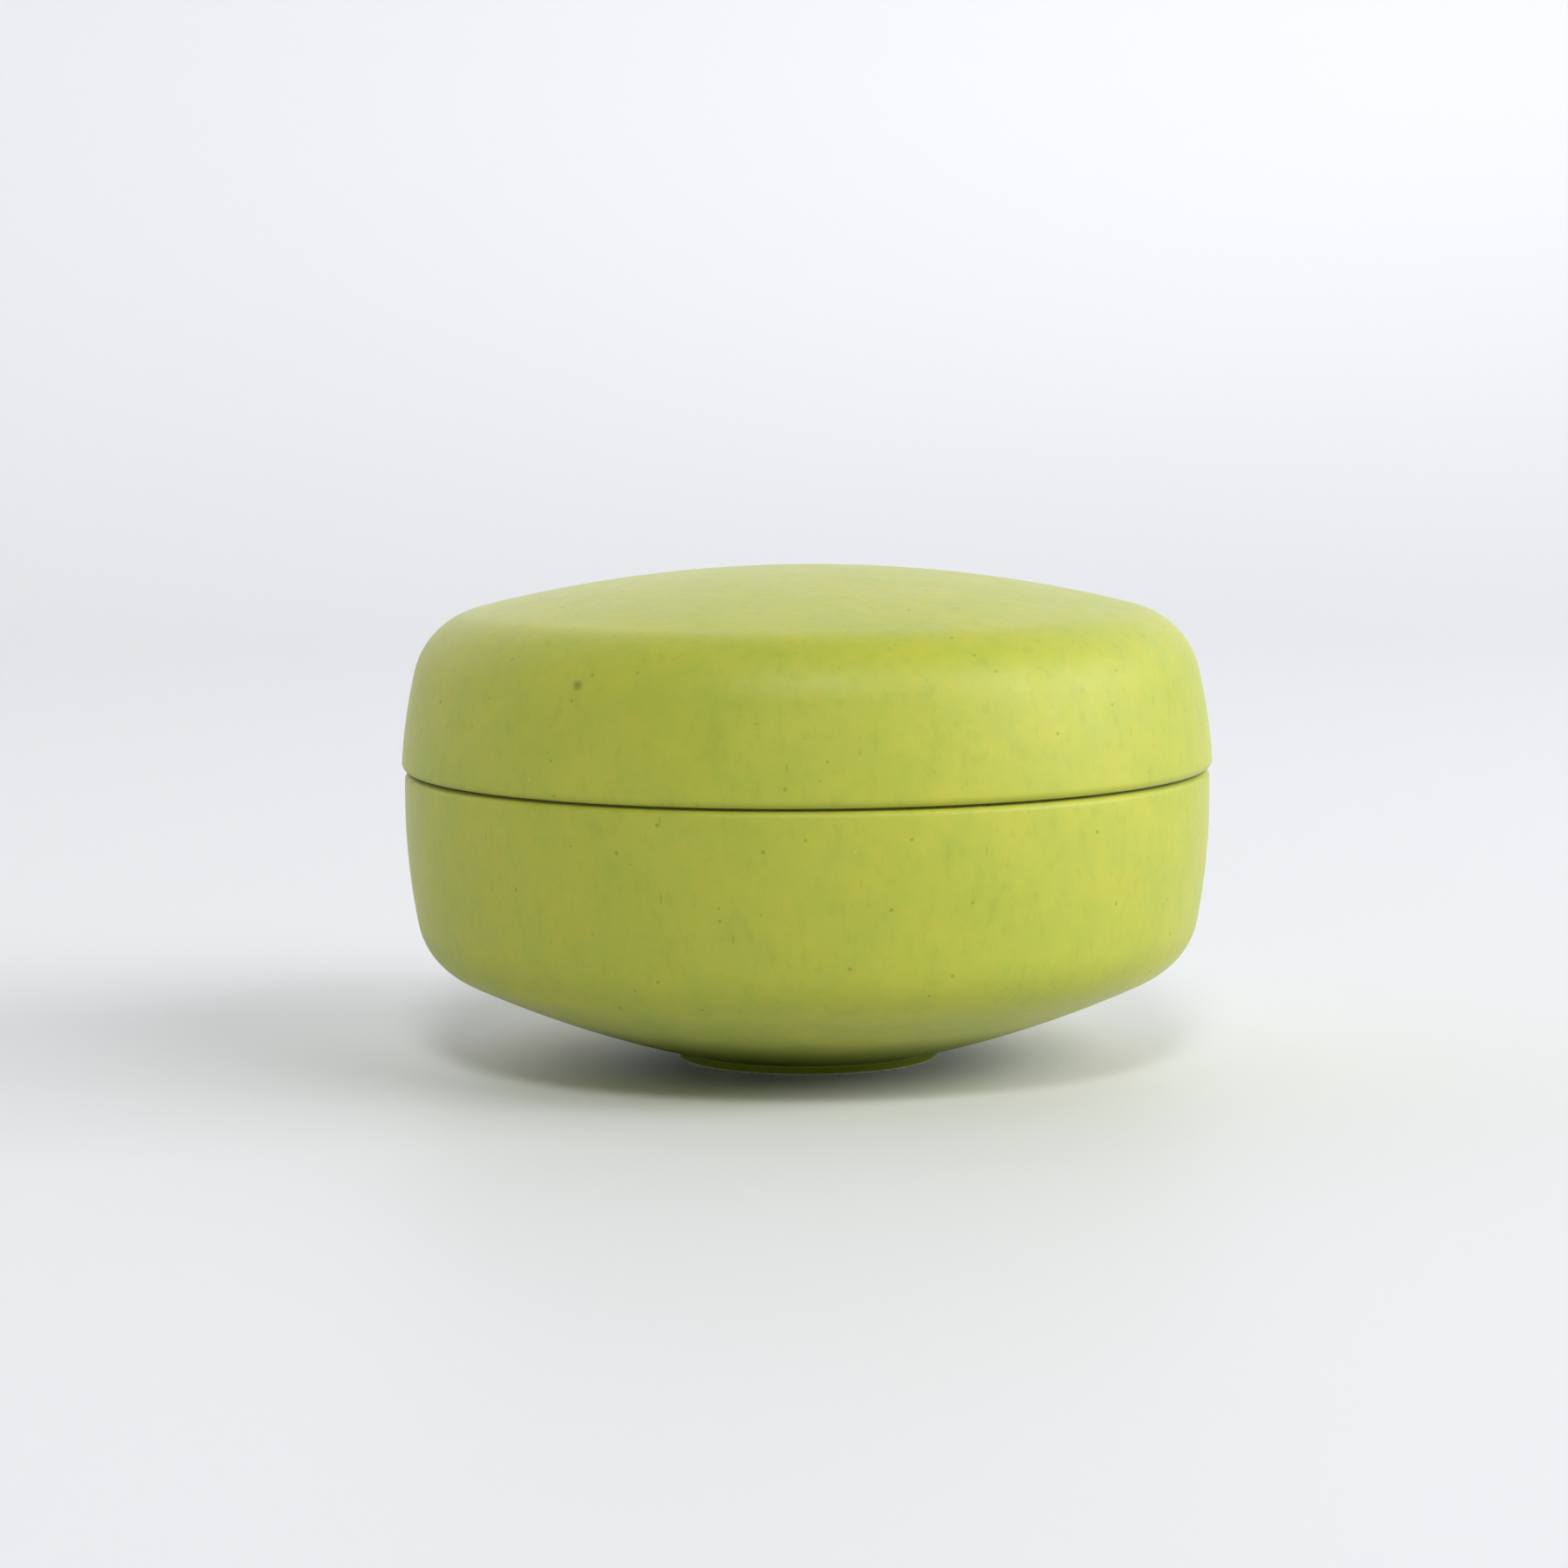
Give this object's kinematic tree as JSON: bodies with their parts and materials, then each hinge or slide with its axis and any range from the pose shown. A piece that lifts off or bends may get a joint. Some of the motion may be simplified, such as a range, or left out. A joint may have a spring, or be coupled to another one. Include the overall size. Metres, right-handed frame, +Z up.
{
  "type": "rice bowl",
  "caption": "Round lidded rice bowl in matte yellow-green stoneware: shallow flared bowl on a small foot ring, under a low domed lid with a locating flange.",
  "frame": {"origin": "centre of the foot ring's flat underside, on the surface that the bowl stands on", "axes": "+Z up along the bowl's axis of revolution; X and Y are free choices on a round object"},
  "size_m": [0.12, 0.12, 0.0732],
  "materials": {
    "bowl_glaze": "matte",
    "lid_glaze": "matte"
  },
  "bodies": {
    "bowl": {"bowl": "bowl_glaze"},
    "lid": {"lid": "lid_glaze"}
  },
  "joints": [
    {"name": "lid_lift", "type": "slide", "parent": "bowl", "child": "lid", "axis": [0, 0, 1], "range_m": [0, 0.1]}
  ]
}
